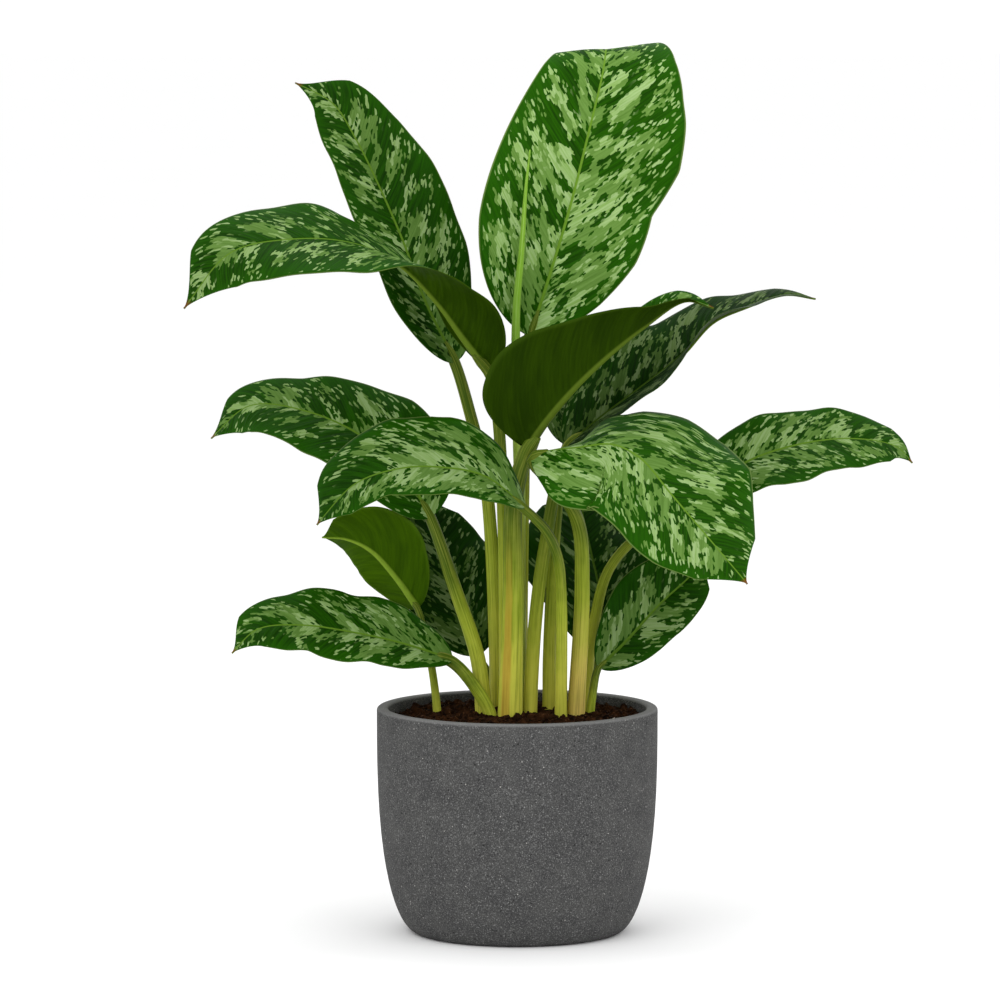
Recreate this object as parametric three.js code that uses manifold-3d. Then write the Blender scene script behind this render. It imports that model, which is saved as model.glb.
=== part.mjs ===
// A potted aglaonema: a round stone-look planter, its potting soil, and a plant of mottled leaves, each a thin
// blade on its own pale stalk. Millimetres, +Z up, origin at the middle of the planter's flat base, front at -Y.
import * as THREE from 'three';
import { mergeVertices } from 'three/addons/utils/BufferGeometryUtils.js';
import Module from 'manifold-3d';

const wasm = await Module();
wasm.setup();

// ---- driving dimensions ----
const POT_HEIGHT = 161;
const POT_RADIUS = 100.2;
const POT_BASE_RADIUS = 72;
const POT_WALL = 8.2;
const POT_FLOOR = 12;
const RIM_ROUND = 2.2;
const POT_SIDES = 44;
const SOIL_EDGE_Z = 151;
const SOIL_HEAP = 5.5;
const SOIL_SIDES = 32;
const GAP = 0.3; // left between pieces that touch
const JOINT_GAP = 0.9; // between a stalk's end and its blade
const STALK_SINK = 22; // how far a stalk's foot stands in the soil
const STALK_SIDES = 8;
const BLADE_THICKNESS = 1.1;
const MIDRIB_THICKNESS = 2.6;
const BLADE_STEPS = 13; // stations along a blade
const HALF_STEPS = 3; // strips from the midrib to one margin
const TIP_WIDTH = 0.012; // narrowest half width, as a share of the widest

// ---- materials ----
const potStone = () => new THREE.MeshStandardMaterial({ color: 0x4b4c4e, roughness: 0.85, metalness: 0 });
const soilBrown = () => new THREE.MeshStandardMaterial({ color: 0x2a1710, roughness: 1, metalness: 0 });
const bladeGreen = () => new THREE.MeshStandardMaterial({ color: 0x6f9a58, roughness: 0.4, metalness: 0 });
const stalkGreen = () => new THREE.MeshStandardMaterial({ color: 0xb9bd62, roughness: 0.45, metalness: 0 });
const spearGreen = () => new THREE.MeshStandardMaterial({ color: 0x8fb84a, roughness: 0.4, metalness: 0 });

// ---- the leaves ----
// spine: the midrib from the blade's base to its tip. face: which way the upper side looks, from base to tip.
// left, right: the half widths that the outline is drawn to, from base to tip. rise: degrees by which the left
// and right halves lift from flat, from base to tip. bend: degrees by which a half curls back down on its way to
// the margin.
// wave: height of the margin's ripples. foot: the stalk's points from the soil up, then it meets the blade.
// girth: the stalk's radius at its foot and at its top.
const LEAVES = [
  {
    name: 'crown_back',
    spine: [
      [9, 22, 424], [22, 27, 464], [38, 36, 517], [52, 48, 572],
      [61, 60, 609], [64, 80, 627], [63, 112, 619], [61, 130, 601],
    ],
    face: [[0.1, -1, 0.2], [0.1, -1, 0.2], [0.1, -0.9, 0.3], [-0.3, -0.4, 1]],
    left: [78, 70, 58, 46, 34], right: [52, 61, 64, 60, 71, 72, 70, 70, 66],
    rise: [[25, 25], [12, 8], [0, 0]], bend: 20, wave: 3,
    foot: [[2, 26, 156], [4, 26, 300]], girth: [5.6, 4],
  },
  {
    name: 'crown_left_tall',
    spine: [
      [-44, 30, 405], [-66, 33, 449], [-82, 37, 492], [-100, 42, 533],
      [-115, 47, 563], [-132, 53, 589], [-159, 58, 604],
    ],
    face: [[0.3, -1, 0.2], [0.4, -1, 0.3], [0, -1, 1]],
    left: [36, 32, 32, 34], right: [44, 46, 46, 42],
    rise: [[30, 10], [20, 10], [5, 5]], bend: 12, wave: 2.5,
    foot: [[-14, 17, 156], [-22, 21, 317], [-34, 25, 370]], girth: [5.5, 4],
  },
  {
    name: 'crown_left_arch',
    spine: [
      [-18, 3, 399], [-36, -5, 423], [-56, -14, 451], [-83, -28, 479],
      [-117, -44, 494], [-159, -60, 497], [-200, -74, 488], [-232, -80, 450],
    ],
    face: [[0.5, 0.7, 0.6], [0, -0.2, 1], [-0.1, -0.7, 1], [-0.6, -1, 0.5]],
    left: [54, 54, 56, 46], right: [46, 42, 46, 48],
    rise: [[35, 35], [15, 10], [5, 5]], bend: 15, wave: 2.5,
    foot: [[-8, 1, 156], [-10, 3, 300], [-14, 3, 370]], girth: [5, 4],
  },
  {
    name: 'crown_front',
    spine: [
      [5, -50, 350], [19, -54, 370], [37, -56, 391], [61, -54, 414],
      [89, -48, 436], [118, -38, 453], [138, -34, 448],
    ],
    face: [[-0.5, 0.6, 0.6], [-0.5, 0.6, 0.7], [-0.4, 0.3, 0.9], [-0.2, -0.5, 1]],
    left: [50, 54, 44, 26], right: [94, 66, 38, 24, 20],
    rise: [[45, 35], [40, 40], [15, 15]], bend: 10, wave: 1,
    foot: [[-5, -18, 156], [-3, -22, 240], [-2, -40, 314]], girth: [9.3, 5.5],
  },
  {
    name: 'crown_right',
    spine: [
      [35, 5, 347], [59, 7, 367], [87, 9, 388], [116, 11, 411],
      [139, 14, 435], [162, 18, 445], [191, 23, 454], [213, 27, 451],
    ],
    face: [[-0.4, -1, 0.6], [-0.4, -0.9, 0.7], [-0.2, -0.3, 1], [0, -0.25, 1]],
    left: [46, 48, 40, 30], right: [34, 38, 36, 26],
    rise: [[10, 50], [10, 45], [5, 10]], bend: 12, wave: 2,
    foot: [[9, -4, 156], [13, -1, 223], [20, 2, 277]], girth: [5.4, 4],
  },
  {
    name: 'inner_back',
    spine: [[35, 25, 346], [44, 45, 368], [53, 80, 392], [56, 120, 406], [54, 160, 406]],
    face: [[-0.2, -0.7, 1], [-0.1, -0.5, 1], [0, 0, 1]],
    left: [36, 36, 34], right: [14, 10, 20],
    rise: [[30, 40], [15, 20], [5, 5]], bend: 15, wave: 2,
    foot: [[23, 14, 156], [23, 16, 198], [28, 20, 293]], girth: [5, 3.6],
  },
  {
    name: 'mid_left_far',
    spine: [
      [-62, 25, 294], [-80, 29, 324], [-109, 36, 350],
      [-149, 45, 368], [-192, 55, 372], [-221, 62, 348],
    ],
    face: [[-0.2, -0.9, 0.6], [-0.1, -0.8, 0.9], [-0.4, -0.8, 1]],
    left: [42, 42, 38, 40], right: [50, 50, 36, 36],
    rise: [[25, 10], [15, 5], [5, 5]], bend: 15, wave: 2,
    foot: [[-24, -3, 156], [-28, -1, 195], [-44, 8, 244]], girth: [6.2, 4],
  },
  {
    name: 'mid_left_near',
    spine: [
      [5, -82, 312], [-23, -92, 334], [-52, -102, 341],
      [-81, -110, 341], [-112, -116, 331], [-139, -120, 303],
    ],
    face: [[0.3, -0.5, 0.9], [0, -0.8, 0.7], [-0.2, -0.8, 0.7], [-0.8, -0.8, 0.5]],
    left: [34, 30, 28, 36], right: [40, 50, 48, 44],
    rise: [[20, 10], [20, 0], [5, 5]], bend: 15, wave: 2,
    foot: [[31, -15, 156], [31, -32, 241], [28, -54, 274], [19, -70, 295]], girth: [4.6, 3.4],
  },
  {
    name: 'front_right',
    spine: [
      [9, -68, 345], [19, -72, 350], [42, -76, 353], [66, -78, 355],
      [85, -82, 346], [107, -92, 321], [133, -102, 291], [159, -112, 261],
    ],
    face: [[0.1, -0.6, 0.8], [0.3, -0.7, 0.8], [0.5, -1, 0.8], [0.6, -1, 0.6], [0.5, -1, 0.5]],
    left: [40, 58, 80, 72, 56], right: [84, 66, 60, 62, 56],
    rise: [[-50, 0], [-8, 5], [10, 10], [0, 5]], bend: 20, wave: 3,
    foot: [[42, -8, 156], [46, -18, 247], [43, -36, 295], [30, -54, 320]], girth: [6.5, 4.2],
  },
  {
    name: 'right_far',
    spine: [[131, 22, 307], [160, 30, 331], [196, 38, 344], [239, 46, 349], [272, 52, 343], [285, 54, 331]],
    face: [[0.1, -0.8, 1], [0.1, -0.8, 1], [0.3, -0.7, 1]],
    left: [34, 34, 34, 36], right: [36, 38, 34, 36],
    rise: [[20, 20], [10, 10], [5, 5]], bend: 15, wave: 2,
    foot: [[48, 12, 156], [55, 14, 219], [66, 17, 258], [90, 19, 284]], girth: [4.6, 3],
  },
  {
    name: 'low_right',
    spine: [[58, 0, 189], [77, 3, 207], [102, 7, 234], [123, 11, 253], [133, 14, 265]],
    face: [[0.3, -1, 0.4], [0.4, -1, 0.4], [0.5, -1, 0.4]],
    left: [26, 34, 36], right: [20, 24, 34],
    rise: [[30, 15], [20, 10], [5, 5]], bend: 15, wave: 2,
    foot: [[52, -3, 156], [54, -2, 172]], girth: [3.6, 2.6],
  },
  {
    name: 'low_right_back',
    spine: [[58, 32, 196], [60, 44, 233], [54, 62, 263], [48, 84, 290], [46, 100, 307]],
    face: [[0.2, -1, 0.6], [0.2, -0.8, 0.8], [0.2, -0.4, 1]],
    left: [40, 56, 54], right: [38, 42, 36],
    rise: [[20, 20], [10, 10], [5, 5]], bend: 15, wave: 2,
    foot: [[48, 26, 156], [52, 28, 176]], girth: [3.4, 2.6],
  },
  {
    name: 'low_left_back',
    spine: [[-71, 22, 229], [-87, 24, 251], [-105, 28, 270], [-123, 33, 278], [-140, 37, 279]],
    face: [[0.1, 1, 0.3], [0, 1, 0.3], [-0.2, 0.8, 1]],
    left: [24, 36, 36], right: [22, 22, 24],
    rise: [[15, 30], [10, 20], [5, 5]], bend: 8, wave: 1,
    foot: [[-57, 10, 153], [-62, 16, 192]], girth: [3.2, 2.4],
  },
  {
    name: 'low_left',
    spine: [
      [-46, -10, 196], [-83, -20, 209], [-118, -30, 218],
      [-153, -40, 224], [-183, -49, 222], [-201, -54, 206],
    ],
    face: [[0, -0.7, 0.8], [0, -0.8, 0.8], [-0.5, -0.8, 0.8]],
    left: [26, 30, 30, 34], right: [36, 38, 36, 36],
    rise: [[15, 15], [15, 5], [5, 5]], bend: 15, wave: 2.5,
    foot: [[-19, -15, 156], [-34, -12, 182]], girth: [5, 4.2],
  },
  {
    name: 'left_back',
    spine: [[-28, 38, 193], [-41, 48, 220], [-53, 60, 250], [-61, 74, 280], [-66, 88, 304]],
    face: [[0.2, -1, 0.4], [0.2, -1, 0.6], [0.2, -0.6, 1]],
    left: [34, 36, 36], right: [36, 42, 40],
    rise: [[20, 20], [10, 10], [5, 5]], bend: 15, wave: 2,
    foot: [[-10, 34, 156], [-18, 36, 176]], girth: [3.6, 2.8],
  },
];

const NEW_LEAF = {
  path: [[4, 12, 134], [2, 13, 300], [-1, 8, 438], [3, 12, 486], [6, 16, 529], [9, 19, 557]],
  radii: [3.6, 3.6, 4.2, 3.6, 2.4, 0.6],
};

// ---- geometry helpers ----
const point = (p) => new THREE.Vector3(...p);
const curveThrough = (points) => new THREE.CatmullRomCurve3(points.map(point));
const radians = THREE.MathUtils.degToRad;

// Value of a list of numbers at a fraction of its length, in straight lines between them.
function along(values, t) {
  const place = THREE.MathUtils.clamp(t, 0, 1) * (values.length - 1);
  const low = Math.min(Math.floor(place), values.length - 2);
  return THREE.MathUtils.lerp(values[low], values[low + 1], place - low);
}

// Closed body through a row of rings, each a loop of the same number of points, with a flat cap at both ends.
function loft(rings) {
  const count = rings[0].length;
  const points = rings.flat();
  const faces = [];
  for (let ring = 0; ring + 1 < rings.length; ring += 1) {
    for (let i = 0; i < count; i += 1) {
      const a = ring * count + i;
      const b = ring * count + ((i + 1) % count);
      faces.push(a, b, b + count, a, b + count, a + count);
    }
  }
  const last = (rings.length - 1) * count;
  for (let i = 1; i + 1 < count; i += 1) {
    faces.push(0, i + 1, i, last, last + i, last + i + 1);
  }
  const geometry = new THREE.BufferGeometry().setFromPoints(points);
  geometry.setIndex(faces);
  geometry.computeVertexNormals();
  return geometry;
}

// manifold-3d solid of a closed geometry, and back again.
function solidOf(geometry) {
  const bare = geometry.clone();
  bare.deleteAttribute('normal');
  bare.deleteAttribute('uv');
  const merged = mergeVertices(bare, 1e-4);
  const vertProperties = new Float32Array(merged.attributes.position.array);
  const triVerts = new Uint32Array(merged.index.array);
  return new wasm.Manifold(new wasm.Mesh({ numProp: 3, vertProperties, triVerts }));
}

function geometryOf(solid) {
  const mesh = solid.getMesh();
  const geometry = new THREE.BufferGeometry();
  geometry.setAttribute('position', new THREE.BufferAttribute(mesh.vertProperties, 3));
  geometry.setIndex(new THREE.BufferAttribute(mesh.triVerts, 1));
  geometry.computeVertexNormals();
  return geometry;
}

// What is left of a solid once the crumbs of a cut are dropped.
function largestBody(solid) {
  const bodies = solid.decompose();
  return bodies.reduce((most, body) => (body.volume() > most.volume() ? body : most));
}

// ---- blades ----
// Half width of a blade at a fraction of its length, as a share of the widest: a rounded base, widest before
// the middle, and a long drawn-out tip.
const BASE_POWER = 0.55;
const TIP_POWER = 0.65;
const DRIP_TIP = 0.12; // last share of the length, drawn out to a point
const WIDEST = BASE_POWER / (BASE_POWER + TIP_POWER);
function outline(t) {
  const drip = Math.min((1 - t) / DRIP_TIP, 1) ** 0.7;
  const shape = drip * (t / WIDEST) ** BASE_POWER * ((1 - t) / (1 - WIDEST)) ** TIP_POWER;
  return Math.max(shape, TIP_WIDTH + 0.02 * (1 - t));
}

// The blade's own directions at a fraction of its length: along the midrib, to its right, and out of its upper
// side.
function bladeFrame(leaf, t) {
  const spine = curveThrough(leaf.spine);
  const centre = spine.getPointAt(t);
  const forward = spine.getTangentAt(t);
  const up = curveThrough(leaf.face).getPoint(t);
  up.addScaledVector(forward, -up.dot(forward)).normalize();
  const right = new THREE.Vector3().crossVectors(forward, up);
  return { centre, up, right };
}

// Points across the blade from its left margin to its right margin, as offsets to the right and up.
function bladeSection(leaf, t) {
  const halves = [along(leaf.left, t) * outline(t), along(leaf.right, t) * outline(t)];
  const rises = [0, 1].map((hand) => along(leaf.rise.map((pair) => pair[hand]), t));
  const hands = rises.map((rise, hand) => {
    const points = [];
    const at = new THREE.Vector2(0, 0);
    for (let i = 1; i <= HALF_STEPS; i += 1) {
      const angle = radians(rise - leaf.bend * ((i - 0.5) / HALF_STEPS));
      const step = halves[hand] / HALF_STEPS;
      at.x += step * Math.cos(angle);
      at.y += step * Math.sin(angle);
      const out = i / HALF_STEPS;
      const ripple = leaf.wave * out ** 2 * Math.sin(2 * Math.PI * (3.3 * t + 0.37 * hand)) * Math.sin(Math.PI * t);
      points.push(new THREE.Vector2(hand ? at.x : -at.x, at.y + ripple));
    }
    return points;
  });
  return [...hands[0].reverse(), new THREE.Vector2(0, 0), ...hands[1]];
}

function bladeGeometry(leaf) {
  const rings = [];
  for (let station = 0; station < BLADE_STEPS; station += 1) {
    const t = station / (BLADE_STEPS - 1);
    const { centre, up, right } = bladeFrame(leaf, t);
    const section = bladeSection(leaf, t);
    const place = (offset, lift) =>
      centre.clone().addScaledVector(right, offset.x).addScaledVector(up, offset.y + lift);
    const top = section.map((offset) => place(offset, BLADE_THICKNESS / 2));
    const under = section.map((offset, i) => {
      const thick = i === HALF_STEPS ? MIDRIB_THICKNESS : BLADE_THICKNESS;
      return place(offset, BLADE_THICKNESS / 2 - thick);
    });
    rings.push([...top, ...under.reverse()]);
  }
  return loft(rings);
}

// ---- stalks ----
// A tapering round stem along a row of points, grown by a margin on every side.
function stemGeometry(points, radii, steps, margin = 0) {
  const path = curveThrough(points);
  const frames = path.computeFrenetFrames(steps, false);
  const rings = [];
  for (let step = 0; step <= steps; step += 1) {
    const centre = path.getPointAt(step / steps);
    const radius = along(radii, step / steps) + margin;
    const ring = [];
    for (let side = 0; side < STALK_SIDES; side += 1) {
      const angle = (2 * Math.PI * side) / STALK_SIDES;
      const rim = centre.clone();
      rim.addScaledVector(frames.normals[step], radius * Math.cos(angle));
      rim.addScaledVector(frames.binormals[step], radius * Math.sin(angle));
      ring.push(rim);
    }
    rings.push(ring);
  }
  return loft(rings);
}

// The stalk's points: its foot in the soil, its own points, and just short of the blade's base.
function stalkPoints(leaf) {
  const [x, y, z] = leaf.foot[0];
  const base = point(leaf.spine[0]);
  const back = point(leaf.spine[1]).sub(base).normalize();
  const top = base.addScaledVector(back, -JOINT_GAP);
  return [[x, y, z - STALK_SINK], ...leaf.foot, top.toArray()];
}

// ---- planter and soil ----
// Outer radius of the planter at a height: a foot that swells out through a quarter of an ellipse and a slightly
// flared side.
const FOOT_HEIGHT = 150;
function potRadius(z) {
  const t = Math.min(z / FOOT_HEIGHT, 1);
  return POT_BASE_RADIUS + (POT_RADIUS - POT_BASE_RADIUS) * (1 - (1 - t) ** 2.6) ** 0.52;
}

function potGeometry() {
  const heights = [0.4, 2.5, 6, 12, 22, 36, 56, 85, 120];
  const outer = heights.map((z) => new THREE.Vector2(potRadius(z), z));
  const inner = heights.filter((z) => z > POT_FLOOR).reverse()
    .map((z) => new THREE.Vector2(potRadius(z) - POT_WALL, z));
  const rim = [
    new THREE.Vector2(POT_RADIUS, POT_HEIGHT - RIM_ROUND),
    new THREE.Vector2(POT_RADIUS - 0.3 * RIM_ROUND, POT_HEIGHT - 0.3 * RIM_ROUND),
    new THREE.Vector2(POT_RADIUS - RIM_ROUND, POT_HEIGHT),
    new THREE.Vector2(POT_RADIUS - POT_WALL + RIM_ROUND, POT_HEIGHT),
    new THREE.Vector2(POT_RADIUS - POT_WALL + 0.3 * RIM_ROUND, POT_HEIGHT - 0.3 * RIM_ROUND),
    new THREE.Vector2(POT_RADIUS - POT_WALL, POT_HEIGHT - RIM_ROUND),
  ];
  const profile = [
    new THREE.Vector2(0, 0),
    new THREE.Vector2(POT_BASE_RADIUS - 2, 0),
    ...outer,
    ...rim,
    ...inner,
    new THREE.Vector2(potRadius(POT_FLOOR) - POT_WALL - 6, POT_FLOOR),
    new THREE.Vector2(0, POT_FLOOR),
  ];
  return new THREE.LatheGeometry(profile, POT_SIDES).rotateX(Math.PI / 2);
}

// Height of the soil at a distance from the planter's axis: heaped in the middle, dished at the wall.
const soilHeight = (radius) => SOIL_EDGE_Z + SOIL_HEAP * Math.cos((Math.PI / 2) * (radius / POT_RADIUS)) ** 0.8;

function soilGeometry() {
  const wallRadius = (z) => potRadius(z) - POT_WALL - 1;
  const top = [0, 25, 50, 72, 86].map((radius) => new THREE.Vector2(radius, soilHeight(radius))).reverse();
  const profile = [
    new THREE.Vector2(0, POT_FLOOR + GAP),
    new THREE.Vector2(wallRadius(POT_FLOOR) - 6, POT_FLOOR + GAP),
    ...[24, 40, 70, 110].map((z) => new THREE.Vector2(wallRadius(z), z)),
    new THREE.Vector2(wallRadius(SOIL_EDGE_Z - 2), SOIL_EDGE_Z - 2),
    ...top,
  ];
  return new THREE.LatheGeometry(profile, SOIL_SIDES).rotateX(Math.PI / 2);
}

// ---- assembly ----
const plant = new THREE.Group();
function addPiece(name, geometry, material) {
  const mesh = new THREE.Mesh(geometry, material);
  mesh.name = name;
  plant.add(mesh);
}

const stems = LEAVES.map((leaf) => ({
  name: `${leaf.name}_stalk`,
  points: stalkPoints(leaf),
  radii: leaf.girth,
  steps: 5 + 2 * leaf.foot.length,
}));
const spear = { name: 'new_leaf', points: NEW_LEAF.path, radii: NEW_LEAF.radii, steps: 12 };

addPiece('pot', potGeometry(), potStone());

let soil = solidOf(soilGeometry());
for (const stem of [...stems, spear]) {
  soil = soil.subtract(solidOf(stemGeometry(stem.points, stem.radii, stem.steps, GAP)));
}
addPiece('soil', geometryOf(soil), soilBrown());

LEAVES.forEach((leaf, i) => {
  const stem = stems[i];
  const clearance = solidOf(stemGeometry(stem.points, stem.radii, stem.steps, GAP));
  const blade = solidOf(bladeGeometry(leaf)).subtract(clearance);
  addPiece(`${leaf.name}_blade`, geometryOf(largestBody(blade)), bladeGreen());
  addPiece(stem.name, stemGeometry(stem.points, stem.radii, stem.steps), stalkGreen());
});
addPiece(spear.name, stemGeometry(spear.points, spear.radii, spear.steps), spearGreen());

export default plant;
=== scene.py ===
"""A potted aglaonema: silver-mottled leaves on pale stalks, growing in a round dark planter.

Lengths are metres. The leaves and their stalks are worked out in millimetres, and MM turns those to metres
when a mesh is made.
"""
import math
import random

import bpy
import numpy as np
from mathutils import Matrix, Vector
from mathutils import noise


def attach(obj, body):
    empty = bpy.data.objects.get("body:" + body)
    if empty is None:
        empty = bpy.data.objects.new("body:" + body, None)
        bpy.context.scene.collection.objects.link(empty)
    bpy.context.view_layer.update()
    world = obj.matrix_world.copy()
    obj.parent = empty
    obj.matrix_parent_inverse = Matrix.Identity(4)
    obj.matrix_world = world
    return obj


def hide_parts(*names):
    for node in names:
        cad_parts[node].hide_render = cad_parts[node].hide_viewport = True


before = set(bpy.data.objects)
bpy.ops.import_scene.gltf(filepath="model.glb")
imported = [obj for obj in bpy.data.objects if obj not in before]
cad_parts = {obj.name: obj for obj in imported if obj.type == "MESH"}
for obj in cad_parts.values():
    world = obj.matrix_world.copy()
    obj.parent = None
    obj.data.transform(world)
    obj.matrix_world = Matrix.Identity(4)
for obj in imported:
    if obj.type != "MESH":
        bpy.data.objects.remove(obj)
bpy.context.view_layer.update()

# ---- camera ----
# A long lens set level with the top of the plant and tipped down a little, square on to the front.
CAMERA_PLACE = (-0.0123, -4.0, 0.680)
CAMERA_TIP = math.radians(5.3)
LENS = 203.4
SENSOR = 36.0

camera_data = bpy.data.cameras.new("camera")
camera_data.lens = LENS
camera_data.sensor_width = SENSOR
camera_data.clip_end = 50.0
camera = bpy.data.objects.new("camera", camera_data)
camera.location = CAMERA_PLACE
camera.rotation_euler = (math.pi / 2 - CAMERA_TIP, 0.0, 0.0)
bpy.context.scene.collection.objects.link(camera)
bpy.context.scene.camera = camera


# ---- studio ----
# A wide white floor in a white room, under one large soft light from the upper left and front, with a weaker
# one on the right and one overhead.
CELL_DISTANCE, CELL_COLOUR, CELL_MIDDLE = range(3)


class Wire:
    """One socket of a material's nodes. Arithmetic on it adds Math nodes to the same material."""

    def __init__(self, tree, socket=None):
        self.tree = tree
        self.socket = socket

    def node(self, kind, settings=None, values=None, output=0):
        """Adds a node, sets its settings first, then gives its sockets values or links."""
        made = self.tree.nodes.new(kind)
        for name, value in (settings or {}).items():
            setattr(made, name, value)
        for name, value in (values or {}).items():
            if isinstance(value, Wire):
                self.tree.links.new(value.socket, made.inputs[name])
            else:
                made.inputs[name].default_value = value
        return Wire(self.tree, made.outputs[output])

    def math(self, operation, *values):
        return self.node("ShaderNodeMath", {"operation": operation}, dict(enumerate(values)))

    def __add__(self, other):
        return self.math("ADD", self, other)

    def __radd__(self, other):
        return self.math("ADD", other, self)

    def __sub__(self, other):
        return self.math("SUBTRACT", self, other)

    def __rsub__(self, other):
        return self.math("SUBTRACT", other, self)

    def __mul__(self, other):
        return self.math("MULTIPLY", self, other)

    def __rmul__(self, other):
        return self.math("MULTIPLY", other, self)

    def __truediv__(self, other):
        return self.math("DIVIDE", self, other)

    def __pow__(self, other):
        return self.math("POWER", self, other)

    def apply(self, operation):
        """An operation on this value alone, such as SINE or ABSOLUTE."""
        return self.math(operation, self)

    def between(self, low, high):
        """0 below low, 1 above high, and smooth from one to the other."""
        return self.node(
            "ShaderNodeMapRange",
            {"interpolation_type": "SMOOTHSTEP"},
            {"Value": self, "From Min": low, "From Max": high},
        )

    def mix(self, first, second):
        """The first colour where this is 0, the second where it is 1."""
        first, second = (c if isinstance(c, Wire) else (*c, 1.0) for c in (first, second))
        return self.node("ShaderNodeMix", {"data_type": "RGBA"}, {0: self, 6: first, 7: second}, output=2)

    def vector(self, x, y, z):
        return self.node("ShaderNodeCombineXYZ", None, {"X": x, "Y": y, "Z": z})

    def parts(self):
        """The X, Y and Z of a vector."""
        split = self.node("ShaderNodeSeparateXYZ", None, {0: self}).socket.node
        return [Wire(self.tree, output) for output in split.outputs]

    def object_place(self):
        """Where a point is, in metres from the object's own origin."""
        return self.node("ShaderNodeTexCoord", output=3)

    def uv(self, name):
        """The two numbers that one of the mesh's own UV maps gives a point."""
        return self.node("ShaderNodeUVMap", {"uv_map": name}).parts()[:2]

    def brightened(self, value):
        return self.node("ShaderNodeHueSaturation", None, {"Color": self, "Value": value})

    def noise(self, vector, scale=1.0, detail=3.0, roughness=0.6):
        values = {"Vector": vector, "Scale": scale, "Detail": detail, "Roughness": roughness}
        return self.node("ShaderNodeTexNoise", None, values)

    def cells(self, vector, scale=1.0, dimensions="3D", output=CELL_DISTANCE):
        """Random cells: the distance to a cell's middle, its random colour, or its middle."""
        settings = {"voronoi_dimensions": dimensions}
        return self.node("ShaderNodeTexVoronoi", settings, {"Vector": vector, "Scale": scale}, output)


def start_material(name, roughness, specular):
    """A material with its shader's uniform sockets set. Returns it, a wire to build from, and the shader."""
    material = bpy.data.materials.new(name)
    material.use_nodes = True
    shader = material.node_tree.nodes["Principled BSDF"]
    shader.inputs["Roughness"].default_value = roughness
    shader.inputs["Specular IOR Level"].default_value = specular
    return material, Wire(material.node_tree), shader


def feed(shader, name, wire):
    wire.tree.links.new(wire.socket, shader.inputs[name])


def bump(shader, height, strength, distance):
    values = {"Height": height, "Strength": strength, "Distance": distance}
    feed(shader, "Normal", height.node("ShaderNodeBump", None, values))


def linear(red, green, blue):
    """A colour given as it looks on a screen, 0 to 255, as the shader's own linear values."""
    shares = [value / 255 for value in (red, green, blue)]
    return tuple(s / 12.92 if s <= 0.04045 else ((s + 0.055) / 1.055) ** 2.4 for s in shares)


def make_object(name, vertices, faces, materials, smooth=True):
    mesh = bpy.data.meshes.new(name)
    mesh.from_pydata([tuple(v) for v in vertices], [], faces)
    mesh.update()
    for material in materials:
        mesh.materials.append(material)
    for face in mesh.polygons:
        face.use_smooth = smooth
    piece = bpy.data.objects.new(name, mesh)
    bpy.context.scene.collection.objects.link(piece)
    return piece


FLOOR_RADIUS = 80.0
FLOOR_SIDES = 64

floor_rim = [2 * math.pi * side / FLOOR_SIDES for side in range(FLOOR_SIDES)]
floor_vertices = [(FLOOR_RADIUS * math.cos(turn), FLOOR_RADIUS * math.sin(turn), 0.0) for turn in floor_rim]
paper, paper_wire, paper_shader = start_material("white_paper", roughness=0.9, specular=0.1)
paper_tone = paper_wire.noise(paper_wire.object_place(), scale=3.0, detail=2.0, roughness=0.5)
feed(paper_shader, "Base Color", paper_tone.mix((0.93, 0.93, 0.93), (0.94, 0.94, 0.94)))
floor = make_object("studio_floor", floor_vertices, [tuple(range(FLOOR_SIDES))], [paper])

WORLD_BRIGHTNESS = 1.07
world = bpy.data.worlds.new("studio")
world.use_nodes = True
world.node_tree.nodes["Background"].inputs["Color"].default_value = (1.0, 1.0, 1.0, 1.0)
world.node_tree.nodes["Background"].inputs["Strength"].default_value = WORLD_BRIGHTNESS
bpy.context.scene.world = world
bpy.context.scene.view_settings.view_transform = "Standard"
bpy.context.scene.view_settings.look = "None"


LIGHT_AIM = (0.0, 0.0, 0.3)


def soft_light(name, place, size, power):
    light_data = bpy.data.lights.new(name, "AREA")
    light_data.shape = "SQUARE"
    light_data.size = size
    light_data.energy = power
    light = bpy.data.objects.new(name, light_data)
    light.location = place
    light.rotation_euler = (Vector(LIGHT_AIM) - Vector(place)).to_track_quat("-Z", "Y").to_euler()
    bpy.context.scene.collection.objects.link(light)


soft_light("key_light", (-1.1, -1.9, 2.3), size=2.0, power=20.0)
soft_light("fill_light", (1.6, -1.8, 1.9), size=2.0, power=12.0)
soft_light("overhead_light", (0.1, 0.3, 2.6), size=1.6, power=10.0)


# ---- planter ----
# One cast shell of stone powder and fibre, round, with a swelling foot and a rounded rim. Its dark grey body
# is full of fine pale and black grains, and its skin has small pits.
POT_HEIGHT = 0.161
POT_RADIUS = 0.1002
POT_BASE_RADIUS = 0.072
POT_WALL = 0.0082
POT_FLOOR = 0.012
RIM_ROUND = 0.0022
FOOT_HEIGHT = 0.150
POT_SIDES = 160
ARC_STEPS = 6


def pot_radius(z):
    t = min(z / FOOT_HEIGHT, 1.0)
    return POT_BASE_RADIUS + (POT_RADIUS - POT_BASE_RADIUS) * (1 - (1 - t) ** 2.6) ** 0.52


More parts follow.
